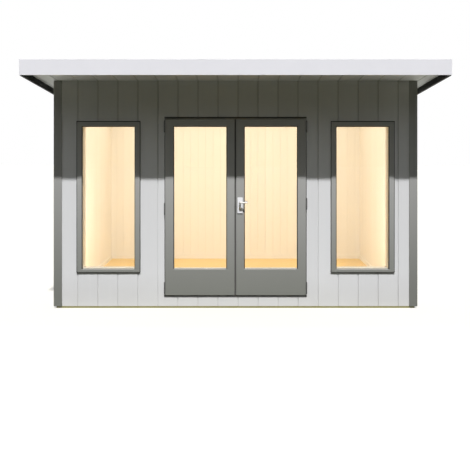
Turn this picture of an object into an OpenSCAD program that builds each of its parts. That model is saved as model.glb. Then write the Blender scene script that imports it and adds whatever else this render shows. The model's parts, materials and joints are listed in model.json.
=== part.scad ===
// Garden office pod: an insulated timber room under a shallow single-slope roof,
// with glazed double doors between two tall fixed windows.
// Millimetres, +Z up, front towards -Y, origin on the ground under the middle of the roof.

/* [Room] */
// Width over the wall cladding
room_w = 3580; // [3300:10:4800]
// Depth over the wall cladding
room_d = 2400; // [1800:10:3600]
// Height of the soffit where it meets the front cladding
soffit_h = 2250; // [2150:10:2500]
// Gap between the ground and the cladding
cladding_lift = 18; // [8:1:40]

/* [Walls] */
// Thickness of the outside boards
cladding_t = 16; // [12:1:24]
// Thickness of the insulated wall panel
core_t = 112; // [80:1:150]
// Thickness of the inside boards
lining_t = 12; // [9:1:20]
// Width of each leg of the corner trims
trim_w = 81; // [50:1:120]
// Thickness of the corner trims
trim_t = 10; // [6:1:20]
// Chamfer on the outer edge of the corner trims
trim_chamfer = 3; // [1:0.5:5]
// Gap between the ground and the corner trims
trim_lift = 18; // [2:1:30]
// Height of the skirting boards
skirting_h = 45; // [30:1:120]
// Thickness of the skirting boards
skirting_t = 12; // [8:1:20]

/* [Floor] */
// Height of the bearers under the floor
bearer_h = 60; // [45:1:100]
// Width of each bearer
bearer_w = 45; // [38:1:75]
// Number of bearers
bearer_n = 7; // [4:1:10]
// How far the feet of the end bearers stay behind the face of the cladding
foot_back = 1; // [0:1:10]
// Thickness of the structural floor panel
floor_panel_t = 22; // [18:1:40]
// Thickness of the floor boards
floor_board_t = 18; // [10:1:25]

/* [Roof] */
// Slope of the roof in degrees, falling to the back
roof_pitch = 4.7; // [2:0.1:6]
// Overhang in front of the cladding
overhang_front = 600; // [300:10:900]
// Overhang beside the cladding
overhang_side = 160; // [60:5:300]
// Overhang behind the cladding
overhang_back = 150; // [60:5:300]
// Thickness of the soffit boards
soffit_t = 16; // [10:1:22]
// Thickness of the insulated roof panel
roof_panel_t = 70; // [50:1:120]
// Thickness of the rubber roof sheet
sheet_t = 3; // [1:0.5:5]
// Thickness of the fascia boards
fascia_t = 20; // [15:1:30]
// How far the fascia boards hang below the soffit
fascia_drop = 52; // [20:1:80]
// Thickness of the ceiling boards
ceiling_t = 12; // [9:1:20]
// Gap between pieces that meet on the slope of the roof
roof_fit = 0.2; // [0.1:0.1:0.5]

/* [Windows] */
// Width of a window over its frame
window_w = 631; // [500:1:700]
// Share of the bare boards beside a window that lies on the doorway's side
window_share = 0.62; // [0.4:0.01:0.7]
// Height of the underside of the windows above the ground
window_z = 352; // [250:1:500]
// Distance from the soffit down to the window frame
window_head = 399; // [250:1:700]
// Width of the window frame's side and top members
frame_w = 57; // [40:1:90]
// Width of the window frame's bottom member
frame_bottom_w = 34; // [25:1:90]
// How far the window frames stand out from the cladding
frame_proud = 13; // [5:1:20]
// Thickness of the sealed glass units
glass_t = 20; // [14:1:28]
// Thickness of the frame's lip in front of the glass
glass_lip = 20; // [12:1:25]
// How far the glass reaches in behind the lip
glass_rebate = 10; // [6:1:15]
// Chamfer on the edges round the glass
glass_chamfer = 6; // [2:1:8]
// Chamfer on the outer edges of the window frames and the door leaves
arris = 4; // [1:0.5:5]
// Clearance round windows and glass
glazing_fit = 0.5; // [0.2:0.1:0.9]

/* [Doors] */
// Width of a door leaf
leaf_w = 694; // [600:1:760]
// Height of the wall from the top of the doorway to the soffit
door_head_h = 366; // [200:1:450]
// Thickness of a door leaf
leaf_t = 44; // [40:1:60]
// How far the door leaves stand out from the cladding
leaf_proud = 13; // [5:1:16]
// Width of the stile on the hinge side
hinge_stile = 88; // [70:1:130]
// Width of the stile where the leaves meet
meeting_stile = 85; // [78:1:130]
// Height of the top rail
top_rail = 77; // [60:1:150]
// Height of the bottom rail
bottom_rail = 262; // [150:1:400]
// Thickness of the leaf's lip in front of the glass
leaf_lip = 12; // [9:1:14]
// Gap between a leaf and the side of the doorway
gap_side = 6; // [6:0.5:10]
// Gap between a leaf and the top of the doorway
gap_top = 11; // [8:1:25]
// Gap between a leaf and the threshold
gap_bottom = 8; // [6:1:14]
// Gap between the two leaves
gap_meet = 8; // [8:1:16]
// Width of the step in the meeting edges
step_w = 6.5; // [5:0.5:12]
// Depth of the step in the meeting edges
step_d = 12; // [6:1:20]
// Gap between a leaf and the stops behind it
gap_stop = 6; // [5:0.5:10]
// How far the stops reach in past the doorway
stop_w = 18; // [15:1:30]
// Thickness of the door frame
jamb_t = 30; // [18:1:45]
// Height of the threshold above the floor boards
threshold_rise = 18; // [12:1:24]
// Height of the stop bar on the threshold
threshold_stop_h = 15; // [12:1:25]
// Width of the stop bar on the threshold
threshold_stop_w = 25; // [15:1:40]
// How far the threshold's nose stands out from the cladding
nose_proud = 3; // [2:1:9]
// Thickness of the threshold's nose
nose_t = 5; // [4:1:8]

/* [Hinges] */
// Height of a hinge
hinge_h = 110; // [80:1:130]
// Distance from the end of a leaf to the middle of the end hinges
hinge_end = 76; // [70:1:150]
// Height of the middle hinge on the left leaf
left_middle_hinge = 983; // [850:1:1150]
// Height of the middle hinge on the right leaf
right_middle_hinge = 1033; // [850:1:1150]
// Radius of a hinge knuckle
knuckle_r = 6.5; // [5.5:0.1:6.6]
// Distance of the hinge pins in front of the leaves
pin_proud = 7; // [6.8:0.1:9]
// Radius of a hinge pin
pin_r = 3; // [2:0.1:4]
// Radial clearance of the pins
pin_fit = 0.1; // [0.05:0.01:0.1]
// Clearance between the ends of the knuckles
knuckle_fit = 0.5; // [0.3:0.1:1]
// Thickness of a hinge plate
plate_t = 2; // [1.5:0.1:2]
// Depth of a hinge plate along the leaf's edge
plate_d = 32; // [20:1:34]

/* [Handle] */
// Width of the handle's backplate
backplate_w = 52; // [40:1:56]
// Height of the handle's backplate
backplate_h = 156; // [140:1:220]
// Thickness of the handle's backplate
backplate_t = 8; // [5:1:12]
// Corner radius of the handle's backplate
backplate_r = 6; // [2:1:15]
// Height of the lever above the ground
lever_z = 1048; // [900:1:1150]
// Distance of the lever's pivot from the top of the backplate
lever_from_top = 48; // [35:1:60]
// Distance of the lever's pivot from the meeting edge of the leaf
lever_backset = 41; // [36:1:48]
// Length of the lever from its pivot
lever_len = 76; // [70:1:130]
// Radius of the lever at its neck
lever_r = 9; // [7:0.5:11]
// Radius of the lever at its tip
lever_tip_r = 6.5; // [4:0.5:7]
// How far the lever stands out from the backplate
lever_reach = 44; // [35:1:60]
// Side of the square spindle through the leaf
spindle = 8; // [6:1:9]
// Gap between the lever and its backplate
lever_fit = 0.3; // [0.2:0.1:0.5]
// Distance from the lever's pivot down to the lock
lock_drop = 57; // [45:1:75]
// Radius of the lock cylinder
lock_r = 8.5; // [7:0.5:10]
// Height of the lock cylinder's tail
lock_tail = 15; // [10:1:18]
// Radius of the lock cylinder's tail
lock_tail_r = 5.1; // [4:0.1:6]
// How far the lock cylinder stands out from the backplates
lock_proud = 2; // [1:0.5:4]
// Clearance round the lock cylinder and the spindle
lock_fit = 0.3; // [0.2:0.1:0.5]

/* [Hidden] */
$fn = 48;

// Plan: the roof is centred on the origin
roof_half_w = room_w / 2 + overhang_side;
roof_half_d = (room_d + overhang_front + overhang_back) / 2;
front_y = overhang_front - roof_half_d;
back_y = front_y + room_d;
room_half = room_w / 2;
core_half = room_half - cladding_t;
lining_half = core_half - core_t;
inner_half = lining_half - lining_t;
core_front = front_y + cladding_t;
lining_front = core_front + core_t;
inner_front = lining_front + lining_t;
core_back = back_y - cladding_t;
lining_back = core_back - core_t;
inner_back = lining_back - lining_t;

// Levels: the tops of the doorway and the windows are set down from the soffit
panel_top = bearer_h + floor_panel_t;
floor_top = panel_top + floor_board_t;
threshold_top = floor_top + threshold_rise;
sill_top = threshold_top - 2 * nose_t;
doorway_top = soffit_h - door_head_h;
head_top = doorway_top + jamb_t;
leaf_z = threshold_top + gap_bottom;
leaf_top = doorway_top - gap_top;

// Doorway, from the middle outwards
leaf_x0 = gap_meet / 2;
leaf_x1 = leaf_x0 + leaf_w;
doorway_half = leaf_x1 + gap_side;
jamb_half = doorway_half + jamb_t;
stop_half = doorway_half - stop_w;
leaf_front = front_y - leaf_proud;
leaf_back = leaf_front + leaf_t;
stop_y = leaf_back + gap_stop;
glass_x0 = leaf_x0 + meeting_stile;
glass_x1 = leaf_x1 - hinge_stile;
glass_z0 = leaf_z + bottom_rail;
glass_z1 = leaf_top - top_rail;
leaf_glass_y = leaf_front + leaf_lip;

// Windows, on the bare boards between the doorway and the corner trim
bare_w = room_half + trim_t - trim_w - doorway_half - window_w;
window_x0 = doorway_half + window_share * bare_w;
window_x1 = window_x0 + window_w;
window_top = soffit_h - window_head;
window_front = front_y - frame_proud;
window_glass_y = window_front + glass_lip;
liner_y = window_glass_y + glass_t;

// Hinges
pin_x = leaf_x1 + gap_side / 2;
pin_y = leaf_front - pin_proud;
plate_y = leaf_front + plate_t;
knuckle_h = hinge_h / 3;

// Handle
lever_x = leaf_x0 + lever_backset;
backplate_z = lever_z + lever_from_top - backplate_h / 2;
lock_z = lever_z - lock_drop;
spindle_hole_r = spindle * sqrt(2) / 2 + lock_fit;

// Layers of the roof, measured square to the soffit
panel_low = soffit_t + roof_fit;
panel_high = panel_low + roof_panel_t;
sheet_low = panel_high + roof_fit;
lining_below = ceiling_t + 2 * roof_fit;

// How far long cuts run, and how far short cuts and joined shapes run past a face
through = 1000;
past = 1;

function soffit_z(y) = soffit_h - (y - front_y) * tan(roof_pitch);
function plumb(t) = t / cos(roof_pitch);
function roof_top(y) = soffit_z(y) + plumb(panel_high);
function left_hinges() = [leaf_z + hinge_end, left_middle_hinge, leaf_top - hinge_end];
function right_hinges() = [leaf_z + hinge_end, right_middle_hinge, leaf_top - hinge_end];

// Shared shapes

module block(low, high) {
    translate(low) cube(high - low);
}

// A YZ outline drawn out along X
module prism_x(x0, x1, outline) {
    translate([x0, 0, 0]) rotate([90, 0, 90]) linear_extrude(x1 - x0) polygon(outline);
}

// A slab from z0 up to a slope that lies a little below the soffit
module under_roof(x0, x1, y0, y1, z0, below = roof_fit) {
    drop = plumb(below);
    prism_x(x0, x1, [[y0, z0], [y1, z0], [y1, soffit_z(y1) - drop], [y0, soffit_z(y0) - drop]]);
}

// A layer of the roof between two distances above the soffit
module roof_layer(x_half, y0, y1, low, high) {
    prism_x(-x_half, x_half, [
        [y0, soffit_z(y0) + plumb(low)], [y1, soffit_z(y1) + plumb(low)],
        [y1, soffit_z(y1) + plumb(high)], [y0, soffit_z(y0) + plumb(high)]
    ]);
}

module left_side() {
    mirror([1, 0, 0]) children();
}

module both_sides() {
    children();
    left_side() children();
}

// A block whose four front edges, at its lowest y, are chamfered
module chamfered_block(low, high, c) {
    intersection() {
        prism_x(low.x, high.x, [
            [low.y, low.z + c], [low.y + c, low.z], [high.y, low.z],
            [high.y, high.z], [low.y + c, high.z], [low.y, high.z - c]
        ]);
        linear_extrude(high.z) polygon([
            [low.x + c, low.y], [high.x - c, low.y], [high.x, low.y + c],
            [high.x, high.y], [low.x, high.y], [low.x, low.y + c]
        ]);
    }
}

// The hole in the right front wall for its window
module window_hole() {
    block([window_x0 - glazing_fit, window_front - through, window_z - glazing_fit],
          [window_x1 + glazing_fit, window_front + through, window_top + glazing_fit]);
}

// The clear opening of the right window, grown by an amount on every side
module window_sight(y0, y1, grow = 0) {
    block([window_x0 + frame_w - grow, y0, window_z + frame_bottom_w - grow],
          [window_x1 - frame_w + grow, y1, window_top - frame_w + grow]);
}

// The clear opening of the right leaf, grown by an amount on every side
module leaf_sight(y0, y1, grow = 0) {
    block([glass_x0 - grow, y0, glass_z0 - grow], [glass_x1 + grow, y1, glass_z1 + grow]);
}

// A chamfer round an opening in a front face at y, open a little way in front of that face
module sight_chamfer(x0, x1, y, z0, z1, depth) {
    front = y - depth;
    back = y + depth;
    intersection() {
        prism_x(x0 - through, x1 + through,
                [[front, z0 - 2 * depth], [back, z0], [back, z1], [front, z1 + 2 * depth]]);
        linear_extrude(z1 + through)
            polygon([[x0 - 2 * depth, front], [x0, back], [x1, back], [x1 + 2 * depth, front]]);
    }
}

// Floor

// The end bearers have a foot that reaches out under the cladding
module floor_bearers() {
    pitch = (core_back - core_front - bearer_w) / (bearer_n - 1);
    color("olivedrab") {
        for (i = [0 : bearer_n - 1])
            translate([-core_half, core_front + i * pitch, 0]) cube([2 * core_half, bearer_w, bearer_h]);
        block([-core_half, front_y + foot_back, 0], [core_half, core_front, cladding_lift]);
        block([-core_half, core_back, 0], [core_half, back_y - foot_back, cladding_lift]);
    }
}

module floor_panel() {
    color("tan") block([-core_half, core_front, bearer_h], [core_half, core_back, panel_top]);
}

module floor_boards() {
    color("sandybrown")
        difference() {
            block([-lining_half, lining_front, panel_top], [lining_half, lining_back, floor_top]);
            block([-jamb_half, lining_front - through, 0], [jamb_half, inner_front, through]);
        }
}

// Walls, the right-hand pieces drawn and the left-hand ones mirrored

module front_side_cladding() {
    color("gainsboro")
        difference() {
            under_roof(doorway_half, room_half, front_y, core_front, cladding_lift);
            window_hole();
        }
}

module front_left_cladding() { left_side() front_side_cladding(); }

module front_right_cladding() { front_side_cladding(); }

module front_head_cladding() {
    color("gainsboro") under_roof(-doorway_half, doorway_half, front_y, core_front, doorway_top);
}

module front_sill_cladding() {
    color("gainsboro")
        block([-doorway_half, front_y, cladding_lift], [doorway_half, core_front, sill_top]);
}

module right_cladding() {
    color("gainsboro") under_roof(core_half, room_half, core_front, core_back, cladding_lift);
}

module left_cladding() { left_side() right_cladding(); }

module back_cladding() {
    color("gainsboro") under_roof(-room_half, room_half, core_back, back_y, cladding_lift);
}

module front_side_wall() {
    color("wheat")
        difference() {
            under_roof(jamb_half, core_half, core_front, lining_front, panel_top);
            window_hole();
        }
}

module front_left_wall() { left_side() front_side_wall(); }

module front_right_wall() { front_side_wall(); }

module front_head_wall() {
    color("wheat") under_roof(-jamb_half, jamb_half, core_front, lining_front, head_top);
}

module right_wall() {
    color("wheat") under_roof(lining_half, core_half, lining_front, lining_back, panel_top);
}

module left_wall() { left_side() right_wall(); }

module back_wall() {
    color("wheat") under_roof(-core_half, core_half, lining_back, core_back, panel_top);
}

module front_side_lining() {
    color("cornsilk")
        difference() {
            under_roof(jamb_half, lining_half, lining_front, inner_front, floor_top, lining_below);
            window_hole();
        }
}

module front_left_lining() { left_side() front_side_lining(); }

module front_right_lining() { front_side_lining(); }

module front_head_lining() {
    color("cornsilk")
        under_roof(-jamb_half, jamb_half, lining_front, inner_front, head_top, lining_below);
}

module right_lining() {
    color("cornsilk")
        under_roof(inner_half, lining_half, inner_front, inner_back, floor_top, lining_below);
}

module left_lining() { left_side() right_lining(); }

module back_lining() {
    color("cornsilk")
        under_roof(-lining_half, lining_half, inner_back, lining_back, floor_top, lining_below);
}

// One board that runs round the room from jamb to jamb
module skirting() {
    color("cornsilk")
        difference() {
            block([-inner_half, inner_front, floor_top], [inner_half, inner_back, floor_top + skirting_h]);
            block([skirting_t - inner_half, inner_front + skirting_t, 0],
                  [inner_half - skirting_t, inner_back - skirting_t, through]);
            block([-jamb_half, inner_front - through, 0], [jamb_half, inner_front + skirting_t, through]);
        }
}

// L-section over one corner, outer edge at the origin, legs towards -X and +Y
module trim_section() {
    polygon([[-trim_w, 0], [-trim_chamfer, 0], [0, trim_chamfer], [0, trim_w],
             [-trim_t, trim_w], [-trim_t, trim_t], [-trim_w, trim_t]]);
}

module front_right_trim() {
    intersection() {
        translate([room_half + trim_t, front_y - trim_t, trim_lift])
            linear_extrude(2 * soffit_h) trim_section();
        under_roof(0, roof_half_w, -roof_half_d, roof_half_d, 0);
    }
}

module back_right_trim() {
    intersection() {
        translate([room_half + trim_t, back_y + trim_t, trim_lift])
            linear_extrude(2 * soffit_h) mirror([0, 1]) trim_section();
        under_roof(0, roof_half_w, -roof_half_d, roof_half_d, 0);
    }
}

module corner_trims() {
    color("darkgray")
        both_sides() {
            front_right_trim();
            back_right_trim();
        }
}

// Roof

module roof_panel() {
    color("wheat")
        roof_layer(roof_half_w - fascia_t, fascia_t - roof_half_d, roof_half_d - fascia_t,
                   panel_low, panel_high);
}

module soffit_boards() {
    color("lightgray")
        roof_layer(roof_half_w - fascia_t, fascia_t - roof_half_d, roof_half_d - fascia_t, 0, soffit_t);
}

module ceiling_boards() {
    color("cornsilk") roof_layer(lining_half, lining_front, lining_back, -ceiling_t - roof_fit, -roof_fit);
}

module roof_sheet() {
    color("dimgray")
        roof_layer(roof_half_w, -roof_half_d, roof_half_d, sheet_low, sheet_low + sheet_t);
}

module front_fascia() {
    y0 = -roof_half_d;
    y1 = fascia_t - roof_half_d;
    low = soffit_z(y0) - fascia_drop;
    color("whitesmoke")
        prism_x(-roof_half_w, roof_half_w, [[y0, low], [y1, low], [y1, roof_top(y1)], [y0, roof_top(y0)]]);
}

module back_fascia() {
    y0 = roof_half_d - fascia_t;
    y1 = roof_half_d;
    low = soffit_z(y1) - fascia_drop;
    color("whitesmoke")
        prism_x(-roof_half_w, roof_half_w, [[y0, low], [y1, low], [y1, roof_top(y1)], [y0, roof_top(y0)]]);
}

module side_fascias() {
    y0 = fascia_t - roof_half_d;
    y1 = roof_half_d - fascia_t;
    color("whitesmoke")
        both_sides()
            prism_x(roof_half_w - fascia_t, roof_half_w, [
                [y0, soffit_z(y0) - fascia_drop], [y1, soffit_z(y1) - fascia_drop],
                [y1, roof_top(y1)], [y0, roof_top(y0)]
            ]);
}

// Windows

module window_frame() {
    color("gray")
        difference() {
            chamfered_block([window_x0, window_front, window_z], [window_x1, liner_y, window_top], arris);
            window_sight(window_front - through, through);
            window_sight(window_glass_y, through, glass_rebate);
            sight_chamfer(window_x0 + frame_w, window_x1 - frame_w, window_front,
                          window_z + frame_bottom_w, window_top - frame_w, glass_chamfer);
        }
}

module left_window_frame() { left_side() window_frame(); }

module right_window_frame() { window_frame(); }

module window_glass() {
    color("lightcyan", 0.4)
        both_sides() window_sight(window_glass_y, liner_y, glass_rebate - glazing_fit);
}

module window_liners() {
    color("cornsilk")
        both_sides()
            difference() {
                block([window_x0, liner_y, window_z], [window_x1, inner_front, window_top]);
                window_sight(liner_y - through, through);
            }
}

// Door frame

module right_door_jamb() {
    color("gray") {
        block([doorway_half, core_front, panel_top], [jamb_half, inner_front, head_top]);
        block([stop_half, stop_y, threshold_top], [doorway_half, inner_front, doorway_top]);
    }
}

module left_door_jamb() { left_side() right_door_jamb(); }

module door_head() {
    color("gray") {
        block([-doorway_half, core_front, doorway_top], [doorway_half, inner_front, head_top]);
        block([-stop_half, stop_y, doorway_top - stop_w], [stop_half, inner_front, doorway_top]);
    }
}

// A sloped plate from jamb to jamb, with a stop bar between the jambs' stops
module door_threshold() {
    nose_y = front_y - nose_proud;
    bar_y = stop_y + threshold_stop_w;
    color("silver") {
        prism_x(-doorway_half, doorway_half, [
            [nose_y, sill_top], [core_front, sill_top], [core_front, panel_top],
            [inner_front, panel_top], [inner_front, floor_top],
            [bar_y, threshold_top], [stop_y, threshold_top], [nose_y, sill_top + nose_t]
        ]);
        block([-stop_half, stop_y, floor_top], [stop_half, bar_y, threshold_top + threshold_stop_h]);
    }
}

// Hinges: each has two knuckles and a pin on the frame, and one knuckle on the leaf

module knuckle(z0, z1) {
    translate([pin_x, pin_y, z0]) cylinder(r = knuckle_r, h = z1 - z0);
}

module frame_hinge(z) {
    low = z - hinge_h / 2;
    block([doorway_half - plate_t, plate_y, low], [doorway_half, plate_y + plate_d, low + hinge_h]);
    for (k = [0, 2]) {
        z0 = low + k * knuckle_h;
        knuckle(z0, z0 + knuckle_h);
        block([doorway_half - plate_t, pin_y, z0], [doorway_half, plate_y, z0 + knuckle_h]);
    }
    translate([pin_x, pin_y, low]) cylinder(r = pin_r, h = hinge_h);
}

module leaf_hinge(z) {
    low = z - hinge_h / 2;
    z0 = low + knuckle_h + knuckle_fit;
    z1 = low + 2 * knuckle_h - knuckle_fit;
    difference() {
        union() {
            block([leaf_x1, plate_y, low], [leaf_x1 + plate_t, plate_y + plate_d, low + hinge_h]);
            knuckle(z0, z1);
            block([leaf_x1, pin_y, z0], [leaf_x1 + plate_t, plate_y, z1]);
        }
        translate([pin_x, pin_y, low]) cylinder(r = pin_r + pin_fit, h = hinge_h);
    }
}

module frame_hinges() {
    color("silver") {
        for (z = right_hinges()) frame_hinge(z);
        left_side() for (z = left_hinges()) frame_hinge(z);
    }
}

module right_door_hinges() {
    color("silver") for (z = right_hinges()) leaf_hinge(z);
}

module left_door_hinges() {
    color("silver") left_side() for (z = left_hinges()) leaf_hinge(z);
}

// Door leaves

module leaf() {
    difference() {
        chamfered_block([leaf_x0, leaf_front, leaf_z], [leaf_x1, leaf_back, leaf_top], arris);
        block([leaf_x0 - through, leaf_front - through, 0],
              [leaf_x0 + step_w, leaf_front + step_d, 2 * leaf_top]);
        leaf_sight(leaf_front - through, through);
        leaf_sight(leaf_glass_y, through, glass_rebate);
        sight_chamfer(glass_x0, glass_x1, leaf_front, glass_z0, glass_z1, glass_chamfer);
    }
}

module leaf_glass() {
    leaf_sight(leaf_glass_y, leaf_glass_y + glass_t, glass_rebate - glazing_fit);
}

module leaf_beads() {
    difference() {
        leaf_sight(leaf_glass_y + glass_t, leaf_back, glass_rebate - glazing_fit);
        leaf_sight(leaf_front - through, through);
    }
}

module left_door_leaf() { color("gray") left_side() leaf(); }

module left_door_glass() { color("lightcyan", 0.4) left_side() leaf_glass(); }

module left_door_beads() { color("cornsilk") left_side() leaf_beads(); }

module right_door_leaf() {
    color("gray")
        difference() {
            leaf();
            translate([lever_x, leaf_front - through, lever_z])
                rotate([-90, 0, 0]) cylinder(r = spindle_hole_r, h = 2 * through);
            lock_barrel(leaf_front - through, through, lock_fit);
        }
}

module right_door_glass() { color("lightcyan", 0.4) leaf_glass(); }

module right_door_beads() { color("cornsilk") leaf_beads(); }

// Handle: a lever on each face, joined by a spindle, over a lock cylinder

// A rounded upright plate with its middle at x and z, from y0 to y1
module rounded_plate(x, z, w, h, r, y0, y1) {
    translate([x, y1, z]) rotate([90, 0, 0]) linear_extrude(y1 - y0) {
        square([w - 2 * r, h], center = true);
        square([w, h - 2 * r], center = true);
        for (sx = [-1, 1], sz = [-1, 1])
            translate([sx * (w / 2 - r), sz * (h / 2 - r)]) circle(r = r);
    }
}

// The keyhole-shaped barrel of the lock, grown by an amount all round
module lock_barrel(y0, y1, grow = 0) {
    tail_r = lock_tail_r + grow;
    translate([lever_x, y1, lock_z]) rotate([90, 0, 0]) linear_extrude(y1 - y0) {
        circle(r = lock_r + grow);
        translate([-tail_r, -lock_tail]) square([2 * tail_r, lock_tail]);
        translate([0, -lock_tail]) circle(r = tail_r);
    }
}

module backplate(y0, y1) {
    difference() {
        rounded_plate(lever_x, backplate_z, backplate_w, backplate_h, backplate_r, y0, y1);
        translate([lever_x, y0 - past, lever_z])
            rotate([-90, 0, 0]) cylinder(r = spindle_hole_r, h = y1 - y0 + 2 * past);
        lock_barrel(y0 - past, y1 + past, lock_fit);
    }
}

module handle_backplates() {
    color("silver") {
        backplate(leaf_front - backplate_t, leaf_front);
        backplate(leaf_back, leaf_back + backplate_t);
    }
}

module lock_cylinder() {
    color("gold") lock_barrel(leaf_front - backplate_t - lock_proud, leaf_back + backplate_t + lock_proud);
}

// A lever that starts at the origin, stands out along -Y and points along +X
module lever() {
    translate([0, -lever_reach, 0]) rotate([-90, 0, 0]) cylinder(r = lever_r, h = lever_reach);
    translate([0, -lever_reach, 0]) sphere(r = lever_r);
    translate([0, -lever_reach, 0])
        rotate([0, 90, 0]) cylinder(r1 = lever_r, r2 = lever_tip_r, h = lever_len - lever_tip_r);
    translate([lever_len - lever_tip_r, -lever_reach, 0]) sphere(r = lever_tip_r);
}

module lever_handle() {
    outer_y = leaf_front - backplate_t - lever_fit;
    inner_y = leaf_back + backplate_t + lever_fit;
    color("silver")
        translate([lever_x, 0, lever_z]) {
            translate([0, outer_y, 0]) lever();
            translate([0, inner_y, 0]) mirror([0, 1, 0]) lever();
            translate([-spindle / 2, outer_y - past, -spindle / 2])
                cube([spindle, inner_y - outer_y + 2 * past, spindle]);
        }
}

floor_bearers();
floor_panel();
floor_boards();
front_left_cladding();
front_right_cladding();
front_head_cladding();
front_sill_cladding();
left_cladding();
right_cladding();
back_cladding();
front_left_wall();
front_right_wall();
front_head_wall();
left_wall();
right_wall();
back_wall();
front_left_lining();
front_right_lining();
front_head_lining();
left_lining();
right_lining();
back_lining();
skirting();
corner_trims();
roof_panel();
roof_sheet();
soffit_boards();
ceiling_boards();
front_fascia();
back_fascia();
side_fascias();
left_window_frame();
right_window_frame();
window_glass();
window_liners();
left_door_jamb();
right_door_jamb();
door_head();
door_threshold();
frame_hinges();
left_door_leaf();
left_door_glass();
left_door_beads();
left_door_hinges();
right_door_leaf();
right_door_glass();
right_door_beads();
right_door_hinges();
handle_backplates();
lock_cylinder();
lever_handle();
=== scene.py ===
# %% [markdown]
# # A garden office pod, dressed in Blender
# The pod is a timber room with a shallow roof, glazed double doors and two tall windows. Its
# construction is already packed as a set of named nodes, so this lesson never moves or resizes
# them: it adds the boards, seals and small fittings, and gives every surface its finish.
# The first cell loads the imported model and gathers its meshes by name. The finished model
# has to stay inside it.

# %% Load the frame
import json
import math

import bmesh
import bpy
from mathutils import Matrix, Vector


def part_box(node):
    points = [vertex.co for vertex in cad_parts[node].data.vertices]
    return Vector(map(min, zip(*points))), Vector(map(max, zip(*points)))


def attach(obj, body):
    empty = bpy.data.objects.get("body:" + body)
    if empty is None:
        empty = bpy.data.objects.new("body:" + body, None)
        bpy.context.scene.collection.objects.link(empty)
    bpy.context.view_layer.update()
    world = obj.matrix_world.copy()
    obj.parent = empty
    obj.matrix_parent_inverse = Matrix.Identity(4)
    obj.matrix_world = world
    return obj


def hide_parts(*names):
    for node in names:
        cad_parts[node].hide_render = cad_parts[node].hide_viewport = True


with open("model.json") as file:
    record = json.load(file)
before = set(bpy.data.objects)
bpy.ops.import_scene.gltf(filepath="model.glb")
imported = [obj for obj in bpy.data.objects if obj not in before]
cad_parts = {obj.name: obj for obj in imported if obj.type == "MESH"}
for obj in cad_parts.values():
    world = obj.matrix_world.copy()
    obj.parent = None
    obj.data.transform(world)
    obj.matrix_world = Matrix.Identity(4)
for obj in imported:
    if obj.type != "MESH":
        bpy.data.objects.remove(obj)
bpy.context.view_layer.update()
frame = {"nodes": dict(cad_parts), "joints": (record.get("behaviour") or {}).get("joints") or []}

nodes = frame["nodes"]

# %% [markdown]
# ## Reading the frame
# Boards and seals take their places from the nodes that they cover. A node's box gives most of
# them. The roof slopes, so its slope is read from two corners of the soffit: how far its
# underside drops from the front edge to the back edge.

# %% Measure the roof slope
NEAR = 0.0005


def corners(node):
    """The corners of a node's mesh."""
    return [vertex.co for vertex in nodes[node].data.vertices]


def lowest_at(node, y):
    """The lowest of a node's corners at one place along the depth."""
    return min(c.z for c in corners(node) if abs(c.y - y) < NEAR)


soffit_low, soffit_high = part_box("soffit_boards")
soffit_front_z = lowest_at("soffit_boards", soffit_low.y)
soffit_back_z = lowest_at("soffit_boards", soffit_high.y)
fall = (soffit_front_z - soffit_back_z) / (soffit_high.y - soffit_low.y)
pitch = math.atan(fall)
roof_normal = Vector((0, math.sin(pitch), math.cos(pitch)))


def soffit_z(y):
    """Height of the soffit's underside at one place along the depth."""
    return soffit_front_z - fall * (y - soffit_low.y)


print("roof pitch in degrees:", round(math.degrees(pitch), 2))

# %% [markdown]
# ## The camera
# The picture is taken square on to the doors from standing eye height, and the uprights stay
# parallel. A level camera does that, and its lens is then shifted down until the pod sits low
# enough in the frame. Tilting the camera instead would make the walls lean.

# %% Place the camera
EYE = (0.0, -7.575, 1.635)
LENS_MM = 51.03
SHIFT = (-0.0012, -0.196)

bpy.ops.object.camera_add(location=EYE, rotation=(math.pi / 2, 0, 0))
camera = bpy.context.active_object
camera.data.lens = LENS_MM
camera.data.shift_x, camera.data.shift_y = SHIFT
bpy.context.scene.camera = camera
bpy.context.scene.view_settings.view_transform = "Standard"
print("camera at", EYE, "lens", LENS_MM)

# %% [markdown]
# ## Hand tools
# Every new piece is made the way it would be made by hand: add a primitive, go into edit mode,
# select edges or faces, and run an operator on them. An operator acts on all that is selected,
# so each helper first clears the selection. These few helpers are the hand tools of the lesson.

# %% Helpers for selecting and cutting
ALONG = 0.99


def select_only(obj=None):
    """Leave edit mode, clear the selection and make one object active."""
    if bpy.context.mode != "OBJECT":
        bpy.ops.object.mode_set(mode="OBJECT")
    bpy.ops.object.select_all(action="DESELECT")
    if obj:
        obj.select_set(True)
        bpy.context.view_layer.objects.active = obj


def added(operator, name, **settings):
    """Run an operator that adds an object, and name what it made."""
    select_only()
    operator(**settings)
    bpy.context.active_object.name = name
    return bpy.context.active_object


def apply_place(obj):
    """Move an object's place, turn and scale into its mesh, so that it sits at the origin."""
    select_only(obj)
    bpy.ops.object.transform_apply(location=True, rotation=True, scale=True)


def put(obj, turn, place):
    """Turn an object, move it and apply both."""
    obj.rotation_euler = turn
    obj.location = place
    apply_place(obj)


def add_block(name, low, high):
    """A cube primitive between two corners."""
    low, high = Vector(low), Vector(high)
    block = added(bpy.ops.mesh.primitive_cube_add, name, size=1, location=(low + high) / 2, scale=high - low)
    apply_place(block)
    return block


def edit_selected(obj, mode="FACE", wanted=None):
    """Go into edit mode and select the edges or faces that pass a test, or all of them."""
    select_only(obj)
    bpy.ops.object.mode_set(mode="EDIT")
    bpy.ops.mesh.select_mode(type=mode)
    bpy.ops.mesh.select_all(action="DESELECT")
    mesh = bmesh.from_edit_mesh(obj.data)
    for part in mesh.edges if mode == "EDGE" else mesh.faces:
        if wanted is None or wanted(part):
            part.select_set(True)
    bmesh.update_edit_mesh(obj.data)


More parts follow.
